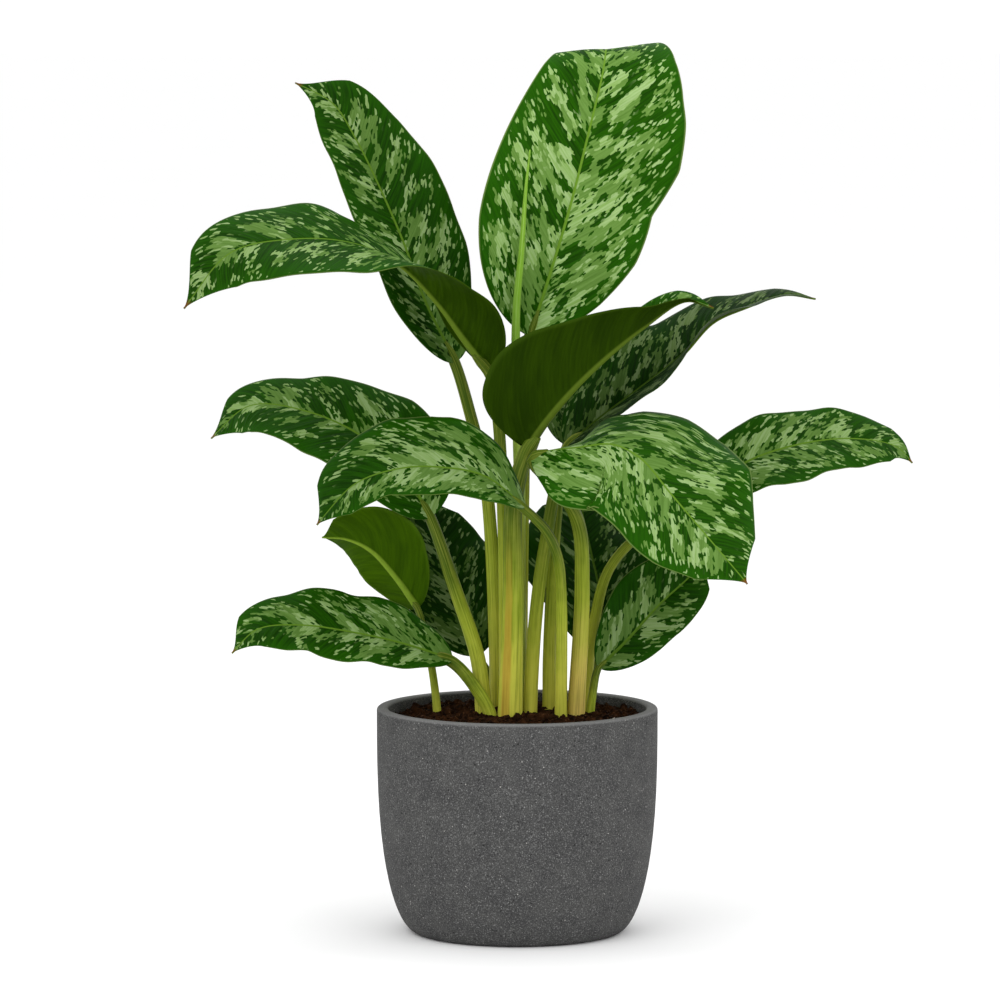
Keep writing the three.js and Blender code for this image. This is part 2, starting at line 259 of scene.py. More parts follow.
def lathe(name, profile, sides, materials):
    """A closed body turned about the Z axis; the profile's first and last points lie on the axis."""
    vertices = [(0.0, 0.0, profile[0][1])]
    for radius, z in profile[1:-1]:
        for side in range(sides):
            turn = 2 * math.pi * side / sides
            vertices.append((radius * math.cos(turn), radius * math.sin(turn), z))
    vertices.append((0.0, 0.0, profile[-1][1]))
    faces = [(0, 1 + (side + 1) % sides, 1 + side) for side in range(sides)]
    rings = len(profile) - 2
    for ring in range(rings - 1):
        for side in range(sides):
            a = 1 + ring * sides + side
            b = 1 + ring * sides + (side + 1) % sides
            faces.append((a, b, b + sides, a + sides))
    last = 1 + (rings - 1) * sides
    faces.extend((last + side, last + (side + 1) % sides, len(vertices) - 1) for side in range(sides))
    return make_object(name, vertices, faces, materials)


def rounded(centre_radius, centre_z, start, end, radius):
    """Points of an arc in the profile, from one angle to another in degrees, 0 pointing outwards."""
    points = []
    for step in range(ARC_STEPS + 1):
        turn = math.radians(start + (end - start) * step / ARC_STEPS)
        points.append((centre_radius + radius * math.cos(turn), centre_z + radius * math.sin(turn)))
    return points


pot_side = [0.0004, 0.0012, 0.0025, 0.004, 0.006, 0.009, 0.012, 0.017, 0.022, 0.029, 0.036, 0.046, 0.056]
pot_side += [0.070, 0.085, 0.100, 0.120, 0.140]
pot_profile = [(0.0, 0.0), (0.04, 0.0), (POT_BASE_RADIUS - 0.002, 0.0)]
pot_profile += [(pot_radius(z), z) for z in pot_side]
rim_middle = POT_RADIUS - RIM_ROUND
pot_profile += rounded(rim_middle, POT_HEIGHT - RIM_ROUND, 0, 90, RIM_ROUND)
pot_profile += rounded(POT_RADIUS - POT_WALL + RIM_ROUND, POT_HEIGHT - RIM_ROUND, 90, 180, RIM_ROUND)
pot_profile += [(pot_radius(z) - POT_WALL, z) for z in reversed(pot_side) if z > POT_FLOOR]
pot_profile += [(pot_radius(POT_FLOOR) - POT_WALL - 0.006, POT_FLOOR), (0.0, POT_FLOOR)]

stone, wire, shader = start_material("pot_stone", roughness=0.82, specular=0.12)
place = wire.object_place()
cloud = wire.noise(place, scale=60.0, detail=4.0)
grain = wire.noise(place, scale=1150.0, detail=2.0)
body = cloud.between(0.3, 0.7).mix(linear(64, 64, 64), linear(74, 74, 73))
body = (grain.between(0.52, 0.68) * 0.7).mix(body, linear(122, 122, 121))
body = (grain.between(0.46, 0.32) * 0.6).mix(body, linear(34, 34, 34))


def grains(vector, scale, reach, share):
    """Round grains of an even size, kept where a random number of each cell is under a share."""
    distance = wire.cells(vector, scale)
    tone = wire.cells(vector, scale, output=CELL_COLOUR)
    chosen = tone.parts()[0].between(share, share - 0.02)
    return (1.0 - distance.between(reach * 0.7, reach)) * chosen


pale_grain = grains(place, 330.0, 0.2, 0.07)
fine_grain = grains(place, 620.0, 0.3, 0.16)
black_grain = grains(place, 330.0, 0.26, 0.16)
body = (black_grain * 0.8).mix(body, linear(30, 30, 30))
body = (fine_grain * 0.6).mix(body, linear(150, 150, 148))
body = (pale_grain * 0.75).mix(body, linear(176, 174, 170))
height = place.parts()[2]
# Painted highlight: the rounded top of the rim is painted paler, as it looks where the light catches it.
painted_rim_highlight = height.between(POT_HEIGHT - RIM_ROUND, POT_HEIGHT - 0.0004)
body = (painted_rim_highlight * 0.5).mix(body, linear(138, 138, 137))
feed(shader, "Base Color", body)
feed(shader, "Roughness", 0.88 - 0.2 * pale_grain)
bump(shader, grain * 0.35 + cloud * 0.3 - black_grain * 0.8, strength=0.5, distance=0.0012)

pot = lathe("planter", pot_profile, POT_SIDES, [stone])
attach(pot, "root")
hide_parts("pot")


# ---- soil ----
# Coarse dark potting mix, heaped a little towards the stems: a bed with a broken surface, loose crumbs of
# bark and peat lying on it, and a few pale grains of perlite.
SOIL_EDGE_Z = 0.151
SOIL_HEAP = 0.0055
SOIL_RADIUS = 0.0912
SOIL_TAPER = 0.985
SOIL_UNDERSIDE_Z = POT_FLOOR + 0.06
SOIL_RINGS = 46
SOIL_SIDES = 150
CRUMBS = 1500
PERLITE = 14
CRUMB_SIZE = (0.0011, 0.0042)
PERLITE_SIZE = (0.0006, 0.0014)
CRUMB_SPREAD = 0.985
CRUMB_CORNERS = 6
CRUMB_RINGS = [(-0.9, 0.45), (-0.25, 1.0), (0.45, 0.85), (0.95, 0.3)]


def soil_height(radius):
    return SOIL_EDGE_Z + SOIL_HEAP * math.cos((math.pi / 2) * min(radius / POT_RADIUS, 1.0)) ** 0.8


def rough_soil(x, y):
    lump = 0.0022 * noise.noise(Vector((x * 90, y * 90, 0.3)))
    grit = 0.0012 * noise.noise(Vector((x * 260, y * 260, 4.0)))
    return soil_height(math.hypot(x, y)) + (lump + grit)


soil_mix, wire, shader = start_material("potting_soil", roughness=0.95, specular=0.04)
place = wire.object_place()
clod = wire.noise(place, scale=120.0, detail=5.0, roughness=0.7)
fleck = wire.noise(place, scale=520.0)
earth = clod.between(0.35, 0.7).mix(linear(14, 6, 3), linear(58, 34, 16))
earth = (fleck.between(0.58, 0.72) * 0.6).mix(earth, linear(104, 72, 46))
feed(shader, "Base Color", earth)
bump(shader, clod * 0.6 + fleck * 0.4, strength=0.8, distance=0.002)

perlite_white, wire, shader = start_material("perlite", roughness=0.8, specular=0.3)
place = wire.object_place()
pore = wire.noise(place, scale=700.0)
chalk = pore.between(0.3, 0.7).mix(linear(150, 138, 128), linear(226, 218, 208))
feed(shader, "Base Color", chalk)
bump(shader, pore, strength=0.6, distance=0.0006)

bed_vertices = [(0.0, 0.0, rough_soil(0.0, 0.0))]
for ring in range(1, SOIL_RINGS + 1):
    for side in range(SOIL_SIDES):
        radius = SOIL_RADIUS * ring / SOIL_RINGS
        turn = 2 * math.pi * side / SOIL_SIDES
        x, y = radius * math.cos(turn), radius * math.sin(turn)
        bed_vertices.append((x, y, rough_soil(x, y)))
bed_faces = [(0, 1 + side, 1 + (side + 1) % SOIL_SIDES) for side in range(SOIL_SIDES)]
for ring in range(SOIL_RINGS - 1):
    for side in range(SOIL_SIDES):
        a = 1 + ring * SOIL_SIDES + side
        b = 1 + ring * SOIL_SIDES + (side + 1) % SOIL_SIDES
        bed_faces.append((a, a + SOIL_SIDES, b + SOIL_SIDES, b))
underside = [(x * SOIL_TAPER, y * SOIL_TAPER, SOIL_UNDERSIDE_Z) for x, y, _ in bed_vertices[-SOIL_SIDES:]]
first_under = len(bed_vertices)
last_ring = first_under - SOIL_SIDES
bed_vertices += underside
for side in range(SOIL_SIDES):
    following = (side + 1) % SOIL_SIDES
    bed_faces.append((last_ring + side, first_under + side, first_under + following, last_ring + following))
bed_faces.append(tuple(first_under + side for side in reversed(range(SOIL_SIDES))))


def add_crumb(vertices, faces, centre, size, rand):
    """A broken lump: rings of corners, each with a height and a reach, pulled about and stretched."""
    first = len(vertices)
    stretch = Vector((rand.uniform(0.6, 1.5), rand.uniform(0.6, 1.3), rand.uniform(0.5, 1.0)))
    spin = rand.uniform(0, math.pi)
    for ring, (height, reach) in enumerate(CRUMB_RINGS):
        for corner in range(CRUMB_CORNERS):
            turn = spin + 2 * math.pi * (corner + 0.5 * (ring % 2)) / CRUMB_CORNERS
            pull = rand.uniform(0.7, 1.2)
            offset = Vector((math.cos(turn) * reach * pull, math.sin(turn) * reach * pull, height * pull))
            vertices.append(tuple(centre + size * offset * stretch))
    top = first + CRUMB_CORNERS * (len(CRUMB_RINGS) - 1)
    for ring_start in range(first, top, CRUMB_CORNERS):
        for corner in range(CRUMB_CORNERS):
            a = ring_start + corner
            b = ring_start + (corner + 1) % CRUMB_CORNERS
            faces.append((a, b, b + CRUMB_CORNERS, a + CRUMB_CORNERS))
    faces.append(tuple(first + corner for corner in reversed(range(CRUMB_CORNERS))))
    faces.append(tuple(top + corner for corner in range(CRUMB_CORNERS)))


def scatter(count, low, high, seed):
    rand = random.Random(seed)
    vertices, faces = [], []
    for _ in range(count):
        radius = SOIL_RADIUS * CRUMB_SPREAD * math.sqrt(rand.random())
        turn = rand.uniform(0, 2 * math.pi)
        size = low + (high - low) * rand.random() ** 2.2
        reach = min(radius, SOIL_RADIUS - 1.5 * size)
        x, y = reach * math.cos(turn), reach * math.sin(turn)
        add_crumb(vertices, faces, Vector((x, y, rough_soil(x, y) + 0.25 * size)), size, rand)
    return vertices, faces


crumb_vertices, crumb_faces = scatter(CRUMBS, *CRUMB_SIZE, seed=5)
offset = len(bed_vertices)
soil = make_object(
    "potting_soil",
    bed_vertices + crumb_vertices,
    bed_faces + [tuple(offset + corner for corner in face) for face in crumb_faces],
    [soil_mix],
    smooth=False,
)
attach(soil, "root")
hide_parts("soil")

perlite_vertices, perlite_faces = scatter(PERLITE, *PERLITE_SIZE, seed=12)
perlite = make_object("perlite_grains", perlite_vertices, perlite_faces, [perlite_white], smooth=False)
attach(perlite, "root")

# ---- leaf table ----
# Each leaf grew as one stalk that runs on as the midrib of one thin blade. This table says where each one
# goes, in millimetres. The stalks leave the soil in two clumps.

# spine: the midrib from the blade's base to its tip. face: which way the upper side looks, from base to tip.
# left, right: the half widths that the outline is drawn to, from base to tip. rise: the degrees by which the
# left and right halves lift from flat, from base to tip. bend: the degrees by which a half curls back down on
# its way to the margin. wave: the height of the margin's ripples. foot: the stalk's points from the soil up,
# after which it meets the blade. girth: the stalk's radius at its foot and at its top.
LEAVES = {
    "crown_back": dict(
        spine=[(9, 22, 424), (22, 27, 464), (38, 36, 517), (52, 48, 572),
               (61, 60, 609), (64, 80, 627), (63, 112, 619), (61, 130, 601)],
        face=[(0.1, -1, 0.2), (0.1, -1, 0.2), (0.1, -0.9, 0.3), (-0.3, -0.4, 1)],
        left=[78, 70, 58, 46, 34], right=[52, 61, 64, 60, 71, 72, 70, 70, 66],
        rise=[(25, 25), (12, 8), (0, 0)], bend=20, wave=3,
        foot=[(2, 26, 156), (4, 26, 300)], girth=(5.6, 4),
    ),
    "crown_left_tall": dict(
        spine=[(-44, 30, 405), (-66, 33, 449), (-82, 37, 492), (-100, 42, 533),
               (-115, 47, 563), (-132, 53, 589), (-159, 58, 604)],
        face=[(0.3, -1, 0.2), (0.4, -1, 0.3), (0, -1, 1)],
        left=[36, 32, 32, 34], right=[44, 46, 46, 42],
        rise=[(30, 10), (20, 10), (5, 5)], bend=12, wave=2.5,
        foot=[(-14, 17, 156), (-22, 21, 317), (-34, 25, 370)], girth=(5.5, 4),
    ),
    "crown_left_arch": dict(
        spine=[(-18, 3, 399), (-36, -5, 423), (-56, -14, 451), (-83, -28, 479),
               (-117, -44, 494), (-159, -60, 497), (-200, -74, 488), (-232, -80, 450)],
        face=[(0.5, 0.7, 0.6), (0, -0.2, 1), (-0.1, -0.7, 1), (-0.6, -1, 0.5)],
        left=[54, 54, 56, 46], right=[46, 42, 46, 48],
        rise=[(35, 35), (15, 10), (5, 5)], bend=15, wave=2.5,
        foot=[(-8, 1, 156), (-10, 3, 300), (-14, 3, 370)], girth=(5, 4),
    ),
    "crown_front": dict(
        spine=[(5, -50, 350), (19, -54, 370), (37, -56, 391), (61, -54, 414),
               (89, -48, 436), (118, -38, 453), (138, -34, 448)],
        face=[(-0.5, 0.6, 0.6), (-0.5, 0.6, 0.7), (-0.4, 0.3, 0.9), (-0.2, -0.5, 1)],
        left=[50, 54, 44, 26], right=[94, 66, 38, 24, 20],
        rise=[(45, 35), (40, 40), (15, 15)], bend=10, wave=1,
        foot=[(-5, -18, 156), (-3, -22, 240), (-2, -40, 314)], girth=(9.3, 5.5),
    ),
    "crown_right": dict(
        spine=[(35, 5, 347), (59, 7, 367), (87, 9, 388), (116, 11, 411),
               (139, 14, 435), (162, 18, 445), (191, 23, 454), (213, 27, 451)],
        face=[(-0.4, -1, 0.6), (-0.4, -0.9, 0.7), (-0.2, -0.3, 1), (0, -0.25, 1)],
        left=[46, 48, 40, 30], right=[34, 38, 36, 26],
        rise=[(10, 50), (10, 45), (5, 10)], bend=12, wave=2,
        foot=[(9, -4, 156), (13, -1, 223), (20, 2, 277)], girth=(5.4, 4),
    ),
    "inner_back": dict(
        spine=[(35, 25, 346), (44, 45, 368), (53, 80, 392), (56, 120, 406), (54, 160, 406)],
        face=[(-0.2, -0.7, 1), (-0.1, -0.5, 1), (0, 0, 1)],
        left=[36, 36, 34], right=[14, 10, 20],
        rise=[(30, 40), (15, 20), (5, 5)], bend=15, wave=2,
        foot=[(23, 14, 156), (23, 16, 198), (28, 20, 293)], girth=(5, 3.6),
    ),
    "mid_left_far": dict(
        spine=[(-62, 25, 294), (-80, 29, 324), (-109, 36, 350),
               (-149, 45, 368), (-192, 55, 372), (-221, 62, 348)],
        face=[(-0.2, -0.9, 0.6), (-0.1, -0.8, 0.9), (-0.4, -0.8, 1)],
        left=[42, 42, 38, 40], right=[50, 50, 36, 36],
        rise=[(25, 10), (15, 5), (5, 5)], bend=15, wave=2,
        foot=[(-24, -3, 156), (-28, -1, 195), (-44, 8, 244)], girth=(6.2, 4),
    ),
    "mid_left_near": dict(
        spine=[(5, -82, 312), (-23, -92, 334), (-52, -102, 341),
               (-81, -110, 341), (-112, -116, 331), (-139, -120, 303)],
        face=[(0.3, -0.5, 0.9), (0, -0.8, 0.7), (-0.2, -0.8, 0.7), (-0.8, -0.8, 0.5)],
        left=[34, 30, 28, 36], right=[40, 50, 48, 44],
        rise=[(20, 10), (20, 0), (5, 5)], bend=15, wave=2,
        foot=[(31, -15, 156), (31, -32, 241), (28, -54, 274), (19, -70, 295)], girth=(4.6, 3.4),
    ),
    "front_right": dict(
        spine=[(9, -68, 345), (19, -72, 350), (42, -76, 353), (66, -78, 355),
               (85, -82, 346), (107, -92, 321), (133, -102, 291), (159, -112, 261)],
        face=[(0.1, -0.6, 0.8), (0.3, -0.7, 0.8), (0.5, -1, 0.8), (0.6, -1, 0.6), (0.5, -1, 0.5)],
        left=[40, 58, 80, 72, 56], right=[84, 66, 60, 62, 56],
        rise=[(-50, 0), (-8, 5), (10, 10), (0, 5)], bend=20, wave=3,
        foot=[(42, -8, 156), (46, -18, 247), (43, -36, 295), (30, -54, 320)], girth=(6.5, 4.2),
    ),
    "right_far": dict(
        spine=[(131, 22, 307), (160, 30, 331), (196, 38, 344),
               (239, 46, 349), (272, 52, 343), (285, 54, 331)],
        face=[(0.1, -0.8, 1), (0.1, -0.8, 1), (0.3, -0.7, 1)],
        left=[34, 34, 34, 36], right=[36, 38, 34, 36],
        rise=[(20, 20), (10, 10), (5, 5)], bend=15, wave=2,
        foot=[(48, 12, 156), (55, 14, 219), (66, 17, 258), (90, 19, 284)], girth=(4.6, 3),
    ),
    "low_right": dict(
        spine=[(58, 0, 189), (77, 3, 207), (102, 7, 234), (123, 11, 253), (133, 14, 265)],
        face=[(0.3, -1, 0.4), (0.4, -1, 0.4), (0.5, -1, 0.4)],
        left=[26, 34, 36], right=[20, 24, 34],
        rise=[(30, 15), (20, 10), (5, 5)], bend=15, wave=2,
        foot=[(52, -3, 156), (54, -2, 172)], girth=(3.6, 2.6),
    ),
    "low_right_back": dict(
        spine=[(58, 32, 196), (60, 44, 233), (54, 62, 263), (48, 84, 290), (46, 100, 307)],
        face=[(0.2, -1, 0.6), (0.2, -0.8, 0.8), (0.2, -0.4, 1)],
        left=[40, 56, 54], right=[38, 42, 36],
        rise=[(20, 20), (10, 10), (5, 5)], bend=15, wave=2,
        foot=[(48, 26, 156), (52, 28, 176)], girth=(3.4, 2.6),
    ),
    "low_left_back": dict(
        spine=[(-71, 22, 229), (-87, 24, 251), (-105, 28, 270), (-123, 33, 278), (-140, 37, 279)],
        face=[(0.1, 1, 0.3), (0, 1, 0.3), (-0.2, 0.8, 1)],
        left=[24, 36, 36], right=[22, 22, 24],
        rise=[(15, 30), (10, 20), (5, 5)], bend=8, wave=1,
        foot=[(-57, 10, 153), (-62, 16, 192)], girth=(3.2, 2.4),
    ),
    "low_left": dict(
        spine=[(-46, -10, 196), (-83, -20, 209), (-118, -30, 218),
               (-153, -40, 224), (-183, -49, 222), (-201, -54, 206)],
        face=[(0, -0.7, 0.8), (0, -0.8, 0.8), (-0.5, -0.8, 0.8)],
        left=[26, 30, 30, 34], right=[36, 38, 36, 36],
        rise=[(15, 15), (15, 5), (5, 5)], bend=15, wave=2.5,
        foot=[(-19, -15, 156), (-34, -12, 182)], girth=(5, 4.2),
    ),
    "left_back": dict(
        spine=[(-28, 38, 193), (-41, 48, 220), (-53, 60, 250), (-61, 74, 280), (-66, 88, 304)],
        face=[(0.2, -1, 0.4), (0.2, -1, 0.6), (0.2, -0.6, 1)],
        left=[34, 36, 36], right=[36, 42, 40],
        rise=[(20, 20), (10, 10), (5, 5)], bend=15, wave=2,
        foot=[(-10, 34, 156), (-18, 36, 176)], girth=(3.6, 2.8),
    ),
}


# ---- leaf blades ----
# Thin living sheets, one to a leaf: silver, sage and dark green in ragged patches that follow the side veins
# above, plain olive green below with the midrib standing out as a pale keel, and a drawn-out tip.
BLADE_STATIONS = 120
HALF_STRIPS = 18
STRIP_CROWDING = 1.35
BLADE_THICKNESS = 0.8
BASE_POWER = 0.55
TIP_POWER = 0.65
DRIP_TIP = 0.12
TIP_WIDTH = 0.012
WIDEST = BASE_POWER / (BASE_POWER + TIP_POWER)
MM = 0.001


def smooth_line(points, places):
    """Points on a smooth line that runs through a row of points, at fractions of the row."""
    row = np.array(points, float)
    row = np.vstack([2 * row[0] - row[1], row, 2 * row[-1] - row[-2]])
    place = np.clip(places, 0.0, 1.0) * (len(row) - 3)
    low = np.minimum(place.astype(int), len(row) - 4)
    share = (place - low)[:, None]
    before, start, end, after = (row[low + k] for k in range(4))
    gap_before, gap, gap_after = (
        np.sqrt(np.linalg.norm(b - a, axis=1))[:, None]
        for a, b in ((before, start), (start, end), (end, after))
    )
    gap = np.where(gap < 1e-4, 1.0, gap)
    gap_before = np.where(gap_before < 1e-4, gap, gap_before)
    gap_after = np.where(gap_after < 1e-4, gap, gap_after)
    leave = (start - before) / gap_before - (end - before) / (gap_before + gap) + (end - start) / gap
    arrive = (end - start) / gap - (after - start) / (gap + gap_after) + (after - end) / gap_after
    leave, arrive = leave * gap, arrive * gap
    cubic = 2 * start - 2 * end + leave + arrive
    square = -3 * start + 3 * end - 2 * leave - arrive
    return start + share * (leave + share * (square + share * cubic))


def even_places(points, shares):
    """The fractions of a row at which its smooth line has run given shares of its length."""
    fine = np.linspace(0.0, 1.0, 401)
    steps = np.linalg.norm(np.diff(smooth_line(points, fine), axis=0), axis=1)
    run = np.concatenate([[0.0], np.cumsum(steps)])
    return np.interp(np.array(shares) * run[-1], run, fine), run[-1]


def directions(points, places):
    ahead = smooth_line(points, places + 1e-4) - smooth_line(points, places - 1e-4)
    return ahead / np.linalg.norm(ahead, axis=1)[:, None]


def along(values, shares):
    return np.interp(shares, np.linspace(0.0, 1.0, len(values)), values)


def outline(shares):
    """Half width as a share of the widest: a rounded base, a full middle and a drawn-out tip."""
    drip = np.minimum((1 - shares) / DRIP_TIP, 1.0) ** 0.7
    shape = drip * (shares / WIDEST) ** BASE_POWER * ((1 - shares) / (1 - WIDEST)) ** TIP_POWER
    return np.maximum(shape, TIP_WIDTH + 0.02 * (1 - shares))


def blade_frame(leaf, shares):
    """Middle, right-hand and upward directions of a blade at shares of its length, and its length."""
    places, length = even_places(leaf["spine"], shares)
    centre = smooth_line(leaf["spine"], places)
    forward = directions(leaf["spine"], places)
    up = smooth_line(leaf["face"], np.array(shares, float))
    up -= forward * np.sum(up * forward, axis=1)[:, None]
    up /= np.linalg.norm(up, axis=1)[:, None]
    return centre, np.cross(forward, up), up, length


KEEL_SHARE = 0.7
KEEL_AT_TIP = 0.5
MARGIN_THINNING = 0.55
RIPPLES = 3.3
RIPPLE_OFFSET = 0.37
FINE_RIPPLE = 0.22
FINE_RIPPLE_TURN = 46


def keel_depth(leaf, shares):
    """How far the midrib stands out of the underside: most at the stalk, and little at the tip."""
    return KEEL_SHARE * leaf["girth"][1] * (1 - shares) ** 1.5 + KEEL_AT_TIP


def make_blade(name, leaf, seed, skins):
    rand = random.Random(seed)
    flow = np.linspace(0.0, 1.0, BLADE_STATIONS)
    shares = 0.6 * flow + 0.4 * (1 - np.cos(math.pi * flow)) / 2
    centre, right, up, length = blade_frame(leaf, shares)
    outs = (np.arange(HALF_STRIPS + 1) / HALF_STRIPS) ** STRIP_CROWDING
    hands = []
    for hand, widths in enumerate((leaf["left"], leaf["right"])):
        half = along(widths, shares) * outline(shares)
        rise = along([pair[hand] for pair in leaf["rise"]], shares)
        x, y = np.zeros_like(shares), np.zeros_like(shares)
        fine_phase = rand.uniform(0, 2 * math.pi)
        strips = []
        for inner, outer in zip(outs[:-1], outs[1:]):
            angle = np.radians(rise - leaf["bend"] * (inner + outer) / 2)
            x = x + half * (outer - inner) * np.cos(angle)
            y = y + half * (outer - inner) * np.sin(angle)
            ripple = np.sin(2 * math.pi * (RIPPLES * shares + RIPPLE_OFFSET * hand))
            ripple += FINE_RIPPLE * np.sin(FINE_RIPPLE_TURN * shares + fine_phase)
            lift = y + leaf["wave"] * outer ** 2 * ripple * np.sin(math.pi * shares)
            side = 1 if hand else -1
            strips.append((side * x, lift, side * half * outer, np.full_like(shares, side * outer)))
        hands.append(strips)
    middle = [tuple(np.zeros_like(shares) for _ in range(4))]
    columns = hands[0][::-1] + middle + hands[1]
    offset, lift, distance, reach = (np.stack([column[k] for column in columns], axis=1) for k in range(4))
    top = centre[:, None] + right[:, None] * offset[..., None] + up[:, None] * lift[..., None]
    normal = np.cross(np.gradient(top, axis=1), np.gradient(top, axis=0))
    normal /= np.maximum(np.linalg.norm(normal, axis=2), 1e-9)[..., None]
    normal *= np.sign(np.sum(normal * up[:, None], axis=2))[..., None]
    keel = keel_depth(leaf, shares)[:, None]
    rib = keel * np.maximum(1 - (distance / (1.25 * keel)) ** 2, 0.0) ** 0.8
    under = top - normal * (BLADE_THICKNESS * (1 - MARGIN_THINNING * np.abs(reach)) + rib)[..., None]

    columns = top.shape[1]
    sheet = BLADE_STATIONS * columns
    vertices = np.concatenate([top.reshape(-1, 3), under.reshape(-1, 3)]) * MM
    faces, slots = [], []
    for station in range(BLADE_STATIONS - 1):
        for column in range(columns - 1):
            a = station * columns + column
            quad = (a, a + 1, a + 1 + columns, a + columns)
            faces.append(quad)
            slots.append(0)
            faces.append(tuple(sheet + corner for corner in reversed(quad)))
            slots.append(1)
        for edge, flip in ((0, 1), (columns - 1, -1)):
            a = station * columns + edge
            faces.append((a, a + columns, a + columns + sheet, a + sheet)[::flip])
            slots.append(1)
    for station, flip in ((0, -1), (BLADE_STATIONS - 1, 1)):
        for column in range(columns - 1):
            a = station * columns + column
            faces.append((a, a + 1, a + 1 + sheet, a + sheet)[::flip])
            slots.append(1)
    blade = make_object(name, vertices, faces, skins)
    shares_grid = np.repeat(shares[:, None], columns, axis=1)
    for layer_name, u, v in (
        ("blade_mm", distance, shares_grid * length),
        ("blade_share", reach * 0.5 + 0.5, shares_grid),
    ):
        flat = np.stack([u.reshape(-1), v.reshape(-1)], axis=1)
        both = np.concatenate([flat, flat])
        layer = blade.data.uv_layers.new(name=layer_name)
        corner_vertices = np.zeros(len(blade.data.loops), dtype=int)
        blade.data.loops.foreach_get("vertex_index", corner_vertices)
        layer.data.foreach_set("uv", both[corner_vertices].reshape(-1))
    for face, slot in zip(blade.data.polygons, slots):
        face.material_index = slot
    return blade


SILVER = linear(150, 178, 118)
DULL_SILVER = linear(122, 156, 80)
SAGE = linear(102, 138, 64)
DULL_SAGE = linear(84, 120, 48)
DEEP_GREEN = linear(16, 50, 0)
MOSS_GREEN = linear(34, 84, 1)
MIDRIB_GREEN = linear(96, 134, 38)
MARGIN_GREEN = linear(34, 88, 2)
PALE_MARGIN = linear(150, 172, 96)
BROWN_TIP = linear(112, 70, 26)
CELL_ALONG = 1.9
CELL_ACROSS = 2.3
VEIN_SLANT = 0.85
VEIN_CURVE = 0.004
VEIN_SPACING = 8.5


def leaf_places(wire):
    """Distances in millimetres across and along a blade, the share out to the margin and along, and the
    place counted along the midrib from which the side vein through a point leaves it."""
    across, length = wire.uv("blade_mm")
    reach, share = wire.uv("blade_share")
    edge = (reach * 2.0 - 1.0).apply("ABSOLUTE")
    out = across.apply("ABSOLUTE")
    vein = length - out * VEIN_SLANT - out * out * VEIN_CURVE
    return across, out, edge, share, vein


def upper_skin(name, seed, dark, shade):
    """The mottled upper side. dark: how much of it is dark green. shade: its brightness, also a painted
    shade.
    """
    material, wire, shader = start_material(name, roughness=0.42, specular=0.025)
    across, out, edge, share, vein = leaf_places(wire)
    warp = wire.noise(wire.vector(vein * 0.25, across * 0.16, seed * 3.7)) - 0.5
    cell_place = wire.vector(vein / CELL_ALONG + warp * 1.2, across / CELL_ACROSS + warp * 0.8, seed * 1.0)
    cell_vein, cell_across = wire.cells(cell_place, dimensions="2D", output=CELL_MIDDLE).parts()[:2]
    patch_place = wire.vector(cell_vein * 0.125, cell_across * 0.12, seed * 5.1)
    patch = wire.noise(patch_place, detail=4.0, roughness=0.7)
    wash = wire.noise(wire.vector(cell_vein * 0.11, cell_across * 0.1, seed * 5.1 + 40.0), roughness=0.62)
    streak = wire.noise(wire.vector(vein * 0.5, across * 0.045, seed * 2.3))
    fleck = wire.noise(wire.vector(cell_vein * 0.23, cell_across * 0.3, seed * 6.3), roughness=0.65)
    nearness = edge ** 2.0 * 0.75
    score = patch * (1.0 - nearness) + fleck * nearness + edge ** 4.0 * 0.13 + share * 0.08 + (dark - 0.01)
    dark_patch = score.between(0.545, 0.55)
    sage_patch = (wash + edge * 0.06).between(0.49, 0.5)

    speck_place = wire.vector(vein / 2.2, across / 2.4, seed * 9.0)
    speck = wire.cells(speck_place, dimensions="2D", output=CELL_COLOUR).parts()[0]
    light_speck = speck.between(0.91, 0.915) * edge.between(0.3, 0.6)
    dark_speck = speck.between(0.05, 0.045)

    silver = streak.between(0.3, 0.7).mix(DULL_SILVER, SILVER)
    sage = streak.between(0.3, 0.7).mix(DULL_SAGE, SAGE)
    deep = streak.between(0.25, 0.75).mix(DEEP_GREEN, MOSS_GREEN)
    deep = (edge.between(0.55, 0.95) * 0.5).mix(deep, MARGIN_GREEN)
    skin = sage_patch.mix(silver, sage)
    skin = dark_speck.mix(skin, deep)
    skin = dark_patch.mix(skin, deep)
    skin = light_speck.mix(skin, silver)
    skin = edge.between(0.93, 0.96).mix(skin, deep)
    rib_width = 1.3 - share * 0.9
    rib = 1.0 - (out - rib_width).between(-0.25, 0.25)
    skin = rib.mix(skin, MIDRIB_GREEN)
    skin = (edge.between(0.975, 0.995) * 0.45).mix(skin, PALE_MARGIN)
    skin = share.between(0.972, 0.99).mix(skin, BROWN_TIP)
    feed(shader, "Base Color", skin.brightened(shade))
    feed(shader, "Roughness", 0.36 + streak * 0.16)
    side_veins = vein * (2 * math.pi / VEIN_SPACING) + warp * 4.0
    ridge = side_veins.apply("SINE") * edge.between(1.0, 0.2)
    groove = 1.0 - (out / 2.2).between(0.0, 1.0)
    bump(shader, ridge * 0.35 + streak * 0.5 - groove * 1.2, strength=0.55, distance=0.0009)
    return material


OLIVE = linear(42, 68, 1)
OLIVE_LIGHT = linear(58, 88, 4)
OLIVE_SHADOW = linear(30, 54, 2)
OLIVE_MARGIN = linear(74, 104, 22)
KEEL_GREEN = linear(108, 134, 40)


